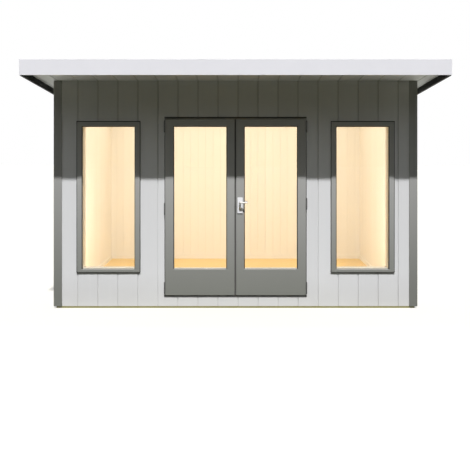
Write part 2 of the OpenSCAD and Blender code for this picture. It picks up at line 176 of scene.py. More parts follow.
def bevel_edges(obj, wanted, width, segments=1):
    """Bevel the edges that pass a test."""
    edit_selected(obj, "EDGE", wanted)
    bpy.ops.mesh.bevel(offset=width, segments=segments, affect="EDGES")
    bpy.ops.object.mode_set(mode="OBJECT")


def cut_off(obj, point, normal):
    """Bisect an object, drop what lies on the normal's side and close the cut."""
    edit_selected(obj)
    bpy.ops.mesh.bisect(plane_co=point, plane_no=normal, use_fill=True, clear_outer=True)
    bpy.ops.object.mode_set(mode="OBJECT")


def apply_modifier(obj, kind, **settings):
    """Add a modifier, set it and apply it."""
    select_only(obj)
    bpy.ops.object.modifier_add(type=kind)
    modifier = obj.modifiers[-1]
    for name, value in settings.items():
        setattr(modifier, name, value)
    bpy.ops.object.modifier_apply(modifier=modifier.name)


def cut_hole(obj, low, high):
    """Cut a box out of an object with a boolean."""
    cutter = add_block("cutter", low, high)
    apply_modifier(obj, "BOOLEAN", operation="DIFFERENCE", solver="EXACT", object=cutter)
    bpy.data.objects.remove(cutter)


def join_pieces(name, pieces):
    """Join several objects into one."""
    select_only(pieces[0])
    for piece in pieces:
        piece.select_set(True)
    bpy.ops.object.join()
    pieces[0].name = name
    return pieces[0]


def runs_along(edge, *axes):
    """Whether an edge runs along one of the given axes."""
    step = edge.verts[1].co - edge.verts[0].co
    return any(abs(step[axis]) > ALONG * step.length for axis in axes)

# %% Helpers for handing a piece over to the frame
def hand_over(piece, body, finish, replaced=None):
    """Parent a piece to its body's empty, hide the node that it stands for and give it a finish."""
    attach(piece, body)
    if replaced:
        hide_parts(replaced)
    piece.data.materials.clear()
    piece.data.materials.append(finish)
    print(piece.name, "on", body, "with", len(piece.data.polygons), "faces")

# %% [markdown]
# ## Node groups for the finishes
# Several finishes share the same effects: timber grain under paint, a slight change of tone from
# board to board, and a mask towards the ground for rain splash and painted shade. Each effect is a
# node group, built once and placed in each material with its own values. A group only gives out
# values that change over the surface, and the shader stays in the material.

# %% Helpers for building node trees
def feed(tree, socket, value):
    """Set an input socket to a value, or link an output socket to it."""
    if isinstance(value, bpy.types.NodeSocket):
        tree.links.new(value, socket)
    else:
        socket.default_value = value


def add_node(tree, kind, **settings):
    """Add a node and set its properties and inputs. An input takes a value or an output socket."""
    made = tree.nodes.new(kind)
    for name, value in settings.items():
        if hasattr(made, name):
            setattr(made, name, value)
        else:
            feed(tree, made.inputs[name.replace("_", " ")], value)
    return made


def new_group(name, inputs, outputs):
    """A node group with float outputs. Its inputs are floats, or vectors where no value is given."""
    group = bpy.data.node_groups.new(name, "ShaderNodeTree")
    for label, value in inputs.items():
        kind = "NodeSocketVector" if value is None else "NodeSocketFloat"
        socket = group.interface.new_socket(label, in_out="INPUT", socket_type=kind)
        if value is not None:
            socket.default_value = value
    for label in outputs:
        group.interface.new_socket(label, in_out="OUTPUT", socket_type="NodeSocketFloat")
    print("group:", name, "gives", outputs)
    return group, group.nodes.new("NodeGroupInput").outputs, group.nodes.new("NodeGroupOutput").inputs


def math_node(tree, operation, *values):
    """The result of a math node whose inputs are sockets or numbers."""
    made = add_node(tree, "ShaderNodeMath", operation=operation)
    for socket, value in zip(made.inputs, values):
        feed(tree, socket, value)
    return made.outputs[0]


def spread(tree, value, low, high, start=0.0, end=1.0):
    """Map a value from one range, 0 to 1 unless another is given, to the range low to high."""
    return add_node(tree, "ShaderNodeMapRange", Value=value, From_Min=start, From_Max=end,
                    To_Min=low, To_Max=high).outputs["Result"]


def noise(tree, coordinate, **settings):
    """Cloud noise over a coordinate."""
    return add_node(tree, "ShaderNodeTexNoise", Vector=coordinate, **settings).outputs[0]

# %% Timber grain
# Long streaks: noise that is stretched along the board by the Stretch input.
group, given, out = new_group("timber grain", {"Vector": None, "Stretch": None}, ["Streak", "Knots"])
stretched = add_node(group, "ShaderNodeVectorMath", operation="MULTIPLY")
feed(group, stretched.inputs[0], given["Vector"])
feed(group, stretched.inputs[1], given["Stretch"])
along = stretched.outputs[0]
feed(group, out["Streak"], noise(group, along, Scale=1.0, Detail=6.0, Roughness=0.6, Distortion=0.4))
feed(group, out["Knots"], noise(group, along, Scale=0.18, Detail=2.0, Roughness=0.5, Distortion=1.5))
grain_group = group

# %% Tone and joints from board to board
# A random value for each board, and a mask that is 1 on a joint and fades out beside it.
group, given, out = new_group(
    "board tone", {"Place": 0.0, "Width": 0.2, "Start": 0.0, "Reach": 0.01}, ["Tone", "Joint"])
shifted = math_node(group, "SUBTRACT", given["Place"], given["Start"])
counted = math_node(group, "DIVIDE", shifted, given["Width"])
random = add_node(group, "ShaderNodeTexWhiteNoise", noise_dimensions="1D",
                  W=math_node(group, "FLOOR", counted))
feed(group, out["Tone"], random.outputs["Value"])
away = math_node(group, "MULTIPLY", math_node(group, "PINGPONG", counted, 0.5), given["Width"])
feed(group, out["Joint"], spread(group, away, 1.0, 0.0, end=given["Reach"]))
board_group = group

# %% Rain splash and painted shade towards the ground
# A mask that grows from 0 at the upper level to 1 at the lower one, with a ragged edge.
group, given, out = new_group(
    "weathering and painted shade", {"Vector": None, "Lower": 0.0, "Upper": 1.0, "Ragged": 0.05}, ["Mask"])
place = add_node(group, "ShaderNodeSeparateXYZ", Vector=given["Vector"])
centred = math_node(group, "SUBTRACT", noise(group, given["Vector"], Scale=3.0, Detail=4.0), 0.5)
drift = math_node(group, "MULTIPLY", centred, given["Ragged"])
level = math_node(group, "ADD", place.outputs["Z"], drift)
feed(group, out["Mask"], spread(group, level, 1.0, 0.0, given["Lower"], given["Upper"]))
weather_and_shade_group = group

# %% [markdown]
# ## Materials
# A material starts with one Principled shader. Its colour is a mix of two tones by a mask from
# a group, its roughness varies a little, and a Bump node gives the fine relief. Everything reads
# Object coordinates, which are metres here, because each piece sits at the origin unturned.

# %% Helpers for materials
JOINT_REACH = 0.012


def new_material(name, **shader_values):
    """A material with a Principled shader and an Object coordinate."""
    made = bpy.data.materials.new(name)
    made.use_nodes = True
    tree = made.node_tree
    shader = tree.nodes["Principled BSDF"]
    for label, value in shader_values.items():
        shader.inputs[label.replace("_", " ")].default_value = value
    print("material:", name)
    return made, tree, shader, add_node(tree, "ShaderNodeTexCoord").outputs["Object"]


def use_group(tree, group, **values):
    """The outputs of a group that is placed in a material with its own inputs."""
    return add_node(tree, "ShaderNodeGroup", node_tree=group, **values).outputs


def mix_colours(tree, mask, first, second):
    """A colour between two tones: first where the mask is 0, second where it is 1."""
    made = add_node(tree, "ShaderNodeMix", data_type="RGBA")
    feed(tree, made.inputs[0], mask)
    for socket, value in ((made.inputs[6], first), (made.inputs[7], second)):
        feed(tree, socket, (*value, 1.0) if isinstance(value, tuple) else value)
    return made.outputs[2]


def mix_shaders(tree, mask, first, second, output):
    """Give an output the first shader where the mask is 0, and the second where it is 1."""
    made = add_node(tree, "ShaderNodeMixShader")
    for socket, source in zip(made.inputs, (mask, first.outputs[0], second.outputs[0])):
        feed(tree, socket, source)
    feed(tree, tree.nodes[output].inputs["Surface"], made.outputs[0])


def add_bump(tree, shader, height, distance, strength):
    """Let a texture raise the surface."""
    bump = add_node(tree, "ShaderNodeBump", Strength=strength, Distance=distance, Height=height)
    feed(tree, shader.inputs["Normal"], bump.outputs["Normal"])


def add_texture(tree, shader, texture, rough, relief, strength=0.5):
    """Let one texture vary the roughness and give the relief."""
    feed(tree, shader.inputs["Roughness"], spread(tree, texture, *rough))
    add_bump(tree, shader, texture, relief, strength)


def board_material(name, axis, width, start, stretch, gloss):
    """A material that knows the tone of each board along one axis and the grain in the boards."""
    made, tree, shader, coordinate = new_material(name, Specular_IOR_Level=gloss)
    place = add_node(tree, "ShaderNodeSeparateXYZ", Vector=coordinate).outputs[axis]
    board = use_group(tree, board_group, Place=place, Width=width, Start=start, Reach=JOINT_REACH)
    grain = use_group(tree, grain_group, Vector=coordinate, Stretch=stretch)
    return made, tree, shader, coordinate, board, grain["Streak"]

# %% [markdown]
# ### Painted boards
# The outside boards are painted a pale warm grey over sawn timber. Two boards are never quite
# the same tone, the grain shows faintly through the paint, and rain splash dulls the lowest part.
# Above the line where the roof's shadow falls, the joints are painted darker: painted shade in
# the grooves. The tone per board needs to know which way the boards are counted, so there is one
# material for boards counted along X and one for boards along Y.

# %% Painted board materials
BOARD_W = 0.1982
JOINT_X = 0.024
JOINT_Y = 0.0
JOINT_SHADE = 0.55
ROOF_SHADE_EDGE = (1.15, 1.45)
CLADDING_PALE = (0.665, 0.668, 0.648)
CLADDING_DULL = (0.615, 0.618, 0.60)
CLADDING_SPLASH = (0.53, 0.525, 0.495)
CLADDING_JOINT_SHADE = (0.38, 0.38, 0.35)
SPLASH_SHARE = 0.9


def painted_boards(name, axis, start):
    """Weathered grey paint on boards counted along one axis, and painted shade in the upper joints."""
    made, tree, shader, coordinate, board, streak = board_material(
        name, axis, BOARD_W, start, stretch=(90.0, 90.0, 2.5), gloss=0.12)
    shade = math_node(tree, "MULTIPLY", board["Tone"], streak)
    colour = mix_colours(tree, shade, CLADDING_PALE, CLADDING_DULL)
    splash = use_group(tree, weather_and_shade_group, Vector=coordinate, Lower=-0.05, Upper=0.35, Ragged=0.2)
    soiled = math_node(tree, "MULTIPLY", splash["Mask"], SPLASH_SHARE)
    colour = mix_colours(tree, soiled, colour, CLADDING_SPLASH)
    # Painted shade: the joints are darkened only above the roof's shadow line on the wall.
    shade_line_mask = use_group(tree, weather_and_shade_group, Vector=coordinate, Lower=ROOF_SHADE_EDGE[0], Upper=ROOF_SHADE_EDGE[1], Ragged=0.1)
    joint_shade_share = spread(tree, shade_line_mask["Mask"], JOINT_SHADE, 0.0)
    joint_shade = math_node(tree, "MULTIPLY", board["Joint"], joint_shade_share)
    feed(tree, shader.inputs["Base Color"], mix_colours(tree, joint_shade, colour, CLADDING_JOINT_SHADE))
    add_texture(tree, shader, streak, rough=(0.55, 0.75), relief=0.0006)
    return made


boards_x = painted_boards("painted boards along x", "X", JOINT_X)
boards_y = painted_boards("painted boards along y", "Y", JOINT_Y)

# %% [markdown]
# ### Cream lining, floor and grey joinery
# The inside is lined with cream boards and floored with warm planks, which is what glows through
# the glass. The frames, doors and corner trims share one grey satin paint. It is painted darker
# towards the ground: painted shade where the sun's sheen fades down the paint.

# %% Lining, floor and joinery materials
LINING_W = 0.0991
LINING_PALE = (0.88, 0.81, 0.67)
LINING_DEEP = (0.84, 0.765, 0.62)
LINING_SILL_SHADE = (0.53, 0.47, 0.37)
SILL_RISE = (0.038, 0.045)
PLANK_W = 0.14
FLOOR_PALE = (0.91, 0.644, 0.222)
FLOOR_DEEP = (0.777, 0.5, 0.144)
GREY_PAINT_HIGH = (0.36, 0.36, 0.335)
GREY_PAINTED_SHADE_LOW = (0.175, 0.18, 0.155)
TRIM_SHARE = 0.89


def cream_boards(name, axis, foot=None):
    """Cream boards counted along one axis, with painted shade at a foot where one is given."""
    made, tree, shader, coordinate, board, streak = board_material(
        name, axis, LINING_W, start=0.0, stretch=(70.0, 70.0, 3.0), gloss=0.3)
    shade = math_node(tree, "MULTIPLY", board["Tone"], streak)
    colour = mix_colours(tree, shade, LINING_PALE, LINING_DEEP)
    if foot is not None:
        # Painted shade: the lowest boards, where the sill catches the sun, are painted darker.
        sill_shade = use_group(tree, weather_and_shade_group, Vector=coordinate, Lower=foot + SILL_RISE[0],
                         Upper=foot + SILL_RISE[1], Ragged=0.0)
        colour = mix_colours(tree, sill_shade["Mask"], colour, LINING_SILL_SHADE)
    feed(tree, shader.inputs["Base Color"], colour)
    add_texture(tree, shader, streak, rough=(0.45, 0.65), relief=0.0004, strength=0.4)
    return made


def floor_planks_finish():
    """Oiled planks whose tone changes from plank to plank."""
    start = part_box("floor_boards")[1].y - PLANK_W / 2
    made, tree, shader, _, board, streak = board_material(
        "oiled floor planks", "Y", PLANK_W, start, stretch=(2.5, 80.0, 80.0), gloss=0.4)
    shade = math_node(tree, "MULTIPLY", math_node(tree, "ADD", board["Tone"], streak), 0.5)
    feed(tree, shader.inputs["Base Color"], mix_colours(tree, shade, FLOOR_PALE, FLOOR_DEEP))
    add_texture(tree, shader, streak, rough=(0.35, 0.55), relief=0.0005)
    return made


def grey_paint_finish(name, share):
    """Grey satin paint with painted shade towards the ground, darkened to a share of its tone."""
    made, tree, shader, coordinate = new_material(name, Specular_IOR_Level=0.12)
    # Painted shade: lighter high up and darker towards the ground, as the sun's sheen fades down.
    sheen_fade = use_group(tree, weather_and_shade_group, Vector=coordinate, Lower=0.05, Upper=1.30, Ragged=0.06)
    high_grey, shaded_grey = (tuple(share * c for c in tone) for tone in (GREY_PAINT_HIGH, GREY_PAINTED_SHADE_LOW))
    feed(tree, shader.inputs["Base Color"], mix_colours(tree, sheen_fade["Mask"], high_grey, shaded_grey))
    grain = use_group(tree, grain_group, Vector=coordinate, Stretch=(120.0, 120.0, 6.0))
    add_texture(tree, shader, grain["Streak"], rough=(0.42, 0.6), relief=0.0004, strength=0.4)
    return made


cream_x = cream_boards("cream boards along x", "X")
cream_y = cream_boards("cream boards along y", "Y")
liner_finish = cream_boards("cream window liners", "X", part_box("window_liners")[0].z)
floor_finish = floor_planks_finish()
joinery_finish = grey_paint_finish("grey joinery paint", 1.0)
trim_finish = grey_paint_finish("grey trim paint", TRIM_SHARE)

# %% [markdown]
# ### Small finishes
# White fascia boards, the rubber roof sheet, rubber seals, metal fittings and the panels inside
# the walls each need only two close tones and one texture: fine cloud noise that varies the
# colour and roughness, with a little relief. The treated bearers show grain instead.

# %% One function for the plain finishes
def clouded(name, pale, deep, scale, rough, relief, gloss=0.5, metal=0.0):
    """A finish of two close tones in fine noise, with the noise as relief too."""
    made, tree, shader, coordinate = new_material(name, Specular_IOR_Level=gloss, Metallic=metal)
    cloud = noise(tree, coordinate, Scale=scale, Detail=5.0, Roughness=0.6)
    feed(tree, shader.inputs["Base Color"], mix_colours(tree, cloud, pale, deep))
    add_texture(tree, shader, cloud, rough, relief)
    return made


fascia_finish = clouded("white fascia paint", (0.785, 0.78, 0.785), (0.73, 0.73, 0.735), 6.0,
                        (0.4, 0.6), 0.0004, gloss=0.25)
rubber_roof = clouded("grey roof rubber", (0.16, 0.165, 0.17), (0.11, 0.115, 0.12), 9.0,
                      (0.6, 0.85), 0.001)
black_rubber = clouded("black rubber", (0.022, 0.022, 0.02), (0.012, 0.012, 0.011), 90.0,
                       (0.55, 0.75), 0.0002, gloss=0.08)
grey_rubber = clouded("grey rubber", (0.10, 0.096, 0.088), (0.075, 0.072, 0.066), 90.0,
                      (0.55, 0.75), 0.0002, gloss=0.08)
satin_steel = clouded("satin steel", (0.56, 0.545, 0.51), (0.50, 0.485, 0.45), 160.0,
                      (0.5, 0.6), 0.00005, metal=0.7, gloss=0.2)
plate_enamel = clouded("plate enamel", (0.80, 0.80, 0.79), (0.75, 0.75, 0.74), 160.0,
                       (0.45, 0.55), 0.00005, gloss=0.15)
hinge_finish = clouded("dark coated steel", (0.10, 0.10, 0.095), (0.075, 0.075, 0.07), 140.0,
                       (0.45, 0.6), 0.00005, metal=0.3, gloss=0.3)
lock_brass = clouded("aged lock brass", (0.34, 0.28, 0.16), (0.26, 0.21, 0.11), 160.0,
                     (0.35, 0.5), 0.00005, metal=0.5, gloss=0.2)
threshold_finish = clouded("dark threshold metal", (0.16, 0.16, 0.155), (0.12, 0.12, 0.115), 120.0,
                           (0.4, 0.55), 0.0001, metal=0.6)
panel_finish = clouded("structural panel", (0.62, 0.50, 0.33), (0.48, 0.36, 0.21), 25.0,
                       (0.7, 0.85), 0.0008)


def treated_timber_finish():
    """Olive treated timber with a strong grain along X."""
    made, tree, shader, coordinate = new_material("treated timber", Specular_IOR_Level=0.2)
    grain = use_group(tree, grain_group, Vector=coordinate, Stretch=(3.0, 90.0, 90.0))
    olive = mix_colours(tree, grain["Streak"], (0.28, 0.26, 0.095), (0.185, 0.17, 0.055))
    feed(tree, shader.inputs["Base Color"], olive)
    feed(tree, shader.inputs["Roughness"], spread(tree, grain["Knots"], 0.7, 0.9))
    add_bump(tree, shader, grain["Streak"], 0.001, 0.6)
    return made


treated_timber = treated_timber_finish()

# %% [markdown]
# ### Glass
# The panes are sealed glass units. For the camera and for reflections they are clear glass. For
# shadow rays and for light bounced from a matt surface they let the light straight through,
# because a path tracer finds sunlight through refracting glass very slowly. The Light Path node
# makes that choice, and it stays in the material itself.

# %% Glass material
def clear_glass():
    made, tree, shader, coordinate = new_material(
        "clear glass", Roughness=0.0, IOR=1.45, Transmission_Weight=1.0)
    film = noise(tree, coordinate, Scale=1.5, Detail=2.0)
    tint = mix_colours(tree, film, (0.985, 0.99, 0.985), (0.97, 0.98, 0.97))
    feed(tree, shader.inputs["Base Color"], tint)
    path = add_node(tree, "ShaderNodeLightPath")
    straight = math_node(tree, "MAXIMUM", path.outputs["Is Shadow Ray"], path.outputs["Is Diffuse Ray"])
    clear = add_node(tree, "ShaderNodeBsdfTransparent", Color=(0.80, 0.80, 0.785, 1.0))
    mix_shaders(tree, straight, shader, clear, "Material Output")
    return made


glass_finish = clear_glass()

# %% [markdown]
# ## Finishing the nodes that stay
# Many nodes already have their true shape, such as the frames, door leaves and hinges. They keep
# their meshes, and only the material in their slots changes.

# %% Finish the kept nodes
KEPT_FINISHES = {
    trim_finish: ["corner_trims"],
    joinery_finish: ["left_window_frame", "right_window_frame", "left_door_jamb",
                     "right_door_jamb", "door_head", "left_door_leaf", "right_door_leaf"],
    cream_x: ["skirting", "left_door_beads", "right_door_beads"],
    liner_finish: ["window_liners"],
    fascia_finish: ["front_fascia", "back_fascia", "side_fascias"],
    treated_timber: ["floor_bearers"],
    panel_finish: ["floor_panel", "roof_panel", "front_left_wall", "front_right_wall", "front_head_wall",
                   "left_wall", "right_wall", "back_wall"],
    hinge_finish: ["frame_hinges", "left_door_hinges", "right_door_hinges"],
    satin_steel: ["lever_handle"],
    plate_enamel: ["handle_backplates"],
    lock_brass: ["lock_cylinder"],
    threshold_finish: ["door_threshold"],
    glass_finish: ["window_glass", "left_door_glass", "right_door_glass"],
}
for finish, names in KEPT_FINISHES.items():
    for name in names:
        for slot in nodes[name].material_slots:
            slot.material = finish
print("finished nodes:", sum(len(names) for names in KEPT_FINISHES.values()))

# %% [markdown]
# ## Rows of boards
# Walls, soffit, lining and floor are all rows of tongued boards with a narrow groove where two
# meet. One board is a cube. A bisect marks how deep the groove is, the side face behind that
# mark is extruded into the tongue, and the two long front edges are bevelled. An Array modifier
# repeats the board, and the row is cut off square at its ends. Modelling the groove in the mesh,
# rather than as bump, gives it a real shadow.

# %% A row of boards
HAIRLINE = 0.0002
FACING = 0.9


def board_row(name, length, height, thickness, width, first, groove):
    """Upright boards from x 0 to length, face at y 0, with the first groove's left side at x first."""
    gap, depth, arris = groove
    start = first % width - width
    board = add_block(name, (start + gap, 0, 0), (start + width, thickness, height))
    edit_selected(board)
    bpy.ops.mesh.bisect(plane_co=(0, depth, 0), plane_no=(0, 1, 0))
    edit_selected(board, "FACE", lambda f: f.normal.x > FACING and f.calc_center_median().y > depth)
    bpy.ops.mesh.extrude_region_move(TRANSFORM_OT_translate={"value": (gap - HAIRLINE, 0, 0)})
    bevel_edges(board, lambda e: runs_along(e, 2) and e.verts[0].co.y < NEAR, arris)
    count = math.ceil((length - start) / width)
    apply_modifier(board, "ARRAY", count=count, use_relative_offset=False, use_constant_offset=True,
                   constant_offset_displace=(width, 0, 0))
    cut_off(board, (0, 0, 0), (-1, 0, 0))
    cut_off(board, (length, 0, 0), (1, 0, 0))
    return board

# %% [markdown]
# ## Outside boards
# The joints of the front boards are lined up across the whole front, over the doors and under
# the windows, so every piece counts its boards from the same place. Where a window passes
# through, a boolean cuts the boards round it, as a saw would. A bisect along the roof's slope takes
# the tops off a little below the soffit.

# %% Front boards
GROOVE = (0.0065, 0.009, 0.0015)
ROOF_GAP = 0.0003
WINDOW_FIT = 0.0005
WIDE = 3.0


def window_box(side):
    """A block a little larger than a window frame, and deep enough to cut right through a wall."""
    low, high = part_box(side + "_window_frame")
    grow = Vector((WINDOW_FIT, WIDE, WINDOW_FIT))
    return low - grow, high + grow


def wall_boards(node, turn, joint, width, groove, finish, window=None):
    """Boards on a wall whose face is turned from the front, with a groove at one known joint."""
    low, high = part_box(node)
    size = high - low
    length, thickness = (size.x, size.y) if turn % 180 == 0 else (size.y, size.x)
    corner = {0: low, 90: (high.x, low.y, low.z), 180: (high.x, high.y, low.z),
              270: (low.x, high.y, low.z)}[turn]
    first = {0: joint - low.x, 90: joint - low.y, 180: high.x - joint, 270: high.y - joint}[turn]
    row = board_row(node + "_boards", length, size.z, thickness, width, first - groove[0] / 2, groove)
    put(row, (0, 0, math.radians(turn)), corner)
    gap = soffit_z(low.y) - high.z + ROOF_GAP
    cut_off(row, (0, soffit_low.y, soffit_front_z - gap), roof_normal)
    if window:
        cut_hole(row, *window_box(window))
    hand_over(row, "building", finish, node)


def outside_boards(node, turn=0, window=None):
    joint, finish = (JOINT_X, boards_x) if turn % 180 == 0 else (JOINT_Y, boards_y)
    wall_boards(node, turn, joint, BOARD_W, GROOVE, finish, window)


outside_boards("front_left_cladding", window="left")
outside_boards("front_right_cladding", window="right")
outside_boards("front_head_cladding")
outside_boards("front_sill_cladding")

# %% Side and back boards
outside_boards("right_cladding", 90)
outside_boards("back_cladding", 180)
outside_boards("left_cladding", 270)

# %% [markdown]
# ## Inside boards
# The lining is the same kind of board at half the width, with a finer groove, and it faces
# inwards. The same function makes it: only the turn changes, so that each row looks into the room.

# %% Lining boards
LINING_GROOVE = (0.0024, 0.003, 0.0008)


def inside_boards(node, turn, window=None):
    finish = cream_x if turn % 180 == 0 else cream_y
    wall_boards(node, turn, 0.0, LINING_W, LINING_GROOVE, finish, window)


inside_boards("front_left_lining", 180, "left")
inside_boards("front_right_lining", 180, "right")
inside_boards("front_head_lining", 180)
inside_boards("back_lining", 0)
inside_boards("left_lining", 90)
inside_boards("right_lining", 270)

# %% [markdown]
# ## Soffit, ceiling and floor
# These boards lie flat or nearly so. A row is made upright as before and then laid down: turned
# about X so that its face looks at the floor and its length runs from front to back. The roof's
# pitch is added to that turn, so the boards lie along the slope.

# %% Soffit and ceiling boards
def sloped_boards(node, width, joint, groove, finish):
    low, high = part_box(node)
    run = (high.y - low.y) / math.cos(pitch)
    back_z = lowest_at(node, high.y)
    top_z = max(c.z for c in corners(node) if abs(c.y - high.y) < NEAR)
    thickness = (top_z - back_z) * math.cos(pitch)
    first = joint - groove[0] / 2 - low.x
    row = board_row(node + "_boards", high.x - low.x, run + thickness, thickness, width, first, groove)
    put(row, (math.pi / 2 - pitch, 0, 0), (low.x, high.y, back_z))
    cut_off(row, low, (0, -1, 0))
    hand_over(row, "building", finish, node)


sloped_boards("soffit_boards", BOARD_W, JOINT_X, GROOVE, boards_x)
sloped_boards("ceiling_boards", LINING_W, 0.0, LINING_GROOVE, cream_x)

# %% Floor planks
PLANK_GROOVE = (0.0012, 0.004, 0.0006)
DOORWAY_REACH = 0.05

low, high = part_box("floor_boards")
front = max(c.y for c in corners("floor_boards") if c.y < low.y + DOORWAY_REACH)
row = board_row("floor_planks", high.y - low.y, high.x - low.x, high.z - low.z, PLANK_W, PLANK_W / 2,
                PLANK_GROOVE)
put(row, (-math.pi / 2, 0, -math.pi / 2), (low.x, high.y, high.z))
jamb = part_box("right_door_jamb")[1].x
cut_hole(row, (-jamb, low.y - WIDE, low.z - WIDE), (jamb, front, high.z + WIDE))
hand_over(row, "building", floor_finish, "floor_boards")

# %% [markdown]
# ## Rubber seals
# Sealed glass sits on rubber, and so do the doors when they are shut. Seen from the front these
# seals are thin black lines, but they draw every edge of the glazing. A ring starts as a plane
# that is inset once: its middle face is deleted, and a Solidify modifier gives the band its
# depth. A small bevel takes the hard arris off. At the foot of the glass no dark line shows, so
# a boolean takes the lower bar off the rings there.

# %% A ring
SEAL_ARRIS = 0.0008


def flat_ring(name, centre, size, turn, band, depth, offset):
    """A band along the inside of a rectangle: a plane that is inset, opened and thickened."""
    ring = added(bpy.ops.mesh.primitive_plane_add, name, size=1, location=centre, rotation=turn)
    ring.scale = (*size, 1)
    apply_place(ring)
    edit_selected(ring)
    bpy.ops.mesh.inset(thickness=band, use_even_offset=True)
    bpy.ops.mesh.delete(type="FACE")
    bpy.ops.object.mode_set(mode="OBJECT")
    apply_modifier(ring, "SOLIDIFY", thickness=depth, offset=offset)
    return ring


def rubber_ring(name, low, high, band, front, depth):
    """An upright ring inside the rectangle from (x, z) low to high, with its front edges bevelled."""
    centre = ((low[0] + high[0]) / 2, front, (low[1] + high[1]) / 2)
    size = (high[0] - low[0], high[1] - low[1])
    ring = flat_ring(name, centre, size, (math.pi / 2, 0, 0), band, depth, -1.0)
    bevel_edges(ring, lambda e: all(abs(v.co.y - front) < NEAR / 2 for v in e.verts)
                and runs_along(e, 0, 2), SEAL_ARRIS)
    return ring

# %% Glazing gaskets, and edge seals with painted shade round the windows
GASKET_BAND = 0.003
GASKET_DEPTH = 0.006
WINDOW_LIP = 0.006
DOOR_LIP = 0.004
LIP_SET_BACK = 0.0006
EDGE_BAND = 0.006
EDGE_PROUD = 0.0005
EDGE_DEPTH = 0.004
FOOT_CUT = 1.0


def sight_box(node, glass_front):
    """The opening that shows glass: a frame's innermost corners against the glass, as (x, z)."""
    low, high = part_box(node)
    middle = (low + high) / 2
    inner = [c for c in corners(node) if abs(c.y - glass_front) < NEAR]
    x_low = max(c.x for c in inner if c.x < middle.x)
    x_high = min(c.x for c in inner if c.x > middle.x)
    z_low = max(c.z for c in inner if c.z < middle.z)
    z_high = min(c.z for c in inner if c.z > middle.z)
    return (x_low, z_low), (x_high, z_high)


def lip_seal(name, sight, lip, face):
    """A ring of rubber just outside the sight, let into the chamfer of a frame's face."""
    low, high = (sight[0][0] - lip, sight[0][1] - lip), (sight[1][0] + lip, sight[1][1] + lip)
    return rubber_ring(name, low, high, lip, face + LIP_SET_BACK, lip - LIP_SET_BACK)


def drop_foot(ring, level):
    """Cut the lower bar off a ring with a wide block, so that two separate feet are left."""
    cut_hole(ring, (-WIDE, -WIDE, level - FOOT_CUT), (WIDE, WIDE, level))


def window_seals(side):
    node = side + "_window_frame"
    low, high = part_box(node)
    sight = sight_box(node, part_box("window_glass")[0].y)
    gasket = lip_seal(side + "_window_gasket", sight, WINDOW_LIP, low.y)
    drop_foot(gasket, sight[0][1])
    # The edge seal is black rubber, and painted shade too: it stands in for the shadow gap round the frame.
    edge = rubber_ring(side + "_window_edge_seal_and_shade", (low.x, low.z), (high.x, high.z), EDGE_BAND,
                       low.y - EDGE_PROUD, EDGE_PROUD + EDGE_DEPTH)
    for seal in (gasket, edge):
        hand_over(seal, "building", black_rubber)


def door_seals(side):
    node = side + "_door_leaf"
    glass_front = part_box(side + "_door_glass")[0].y
    sight = sight_box(node, glass_front)
    gasket = rubber_ring(side + "_door_gasket", *sight, GASKET_BAND, glass_front - GASKET_DEPTH,
                         GASKET_DEPTH)
    lip = lip_seal(side + "_door_lip_seal", sight, DOOR_LIP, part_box(node)[0].y)
    drop_foot(gasket, sight[0][1] + GASKET_BAND)
    drop_foot(lip, sight[0][1])
    for seal in (gasket, lip):
        hand_over(seal, side + "_door", black_rubber)


window_seals("left")
window_seals("right")
door_seals("left")
door_seals("right")

# %% [markdown]
# ## Sill beads
# Inside the glass a cream bead runs along the foot of every pane. The sun catches it, so it draws
# a bright line just over the lower rail. It is a bar whose long upper edges are rounded.

# %% Beads along the foot of the panes
BEAD_RISE = 0.009
BEAD_DEPTH = 0.008
BEAD_ROUND = 0.002


def sill_bead(name, node, glass, body):
    glass_low, glass_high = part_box(glass)
    (left, foot), (right, _) = sight_box(node, glass_low.y)
    back = glass_high.y
    bead = add_block(name, (left, back, foot), (right, back + BEAD_DEPTH, foot + BEAD_RISE))
    bevel_edges(bead, lambda e: runs_along(e, 0) and e.verts[0].co.z > foot + NEAR, BEAD_ROUND, 3)
    hand_over(bead, body, cream_x)


for side in ("left", "right"):
    sill_bead(side + "_window_sill_bead", side + "_window_frame", "window_glass", "building")
    sill_bead(side + "_door_sill_bead", side + "_door_leaf", side + "_door_glass", side + "_door")

# %% [markdown]
# ## Door seals
# Shut doors would still leak light and draughts without seals. Each leaf carries a strip along its
# meeting edge. The right one lies behind the left one and laps it by a hair, so that no light
# shows between them. The frame carries flat strips on its stops. Each strip is a block with its
# long edges rounded by a bevel.

# %% Strips on the leaves and in the frame
MEET_CLEAR = 0.0006
MEET_LAP = 0.0014
MEET_FIT = 0.0004
MEET_ENDS = 0.002
LEFT_DEPTH = 0.005
RIGHT_DEPTH = (0.001, 0.007)
STOP_WIDER = 0.002
STOP_DEPTH = 0.004
LEAF_FACE = 0.005


def rubber_strip(name, low, high, body, axis=2, finish=black_rubber):
    strip = add_block(name, low, high)
    bevel_edges(strip, lambda e: runs_along(e, axis), SEAL_ARRIS, 2)
    hand_over(strip, body, finish)


leaf_low, leaf_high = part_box("right_door_leaf")
leaf = corners("right_door_leaf")
step_edge = min(c.x for c in leaf if abs(c.y - leaf_low.y) < LEAF_FACE)
step_y = min(c.y for c in leaf if c.x < leaf_low.x + NEAR)
sill_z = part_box("door_threshold")[1].z
head_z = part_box("door_head")[0].z
threshold = corners("door_threshold")
jamb_x = max(c.x for c in threshold)
stop_x = max(c.x for c in threshold if c.z > sill_z - NEAR)
stop_y = min(c.y for c in threshold if c.z > sill_z - NEAR)
meet_low, meet_high = leaf_low.z + MEET_ENDS, leaf_high.z - MEET_ENDS

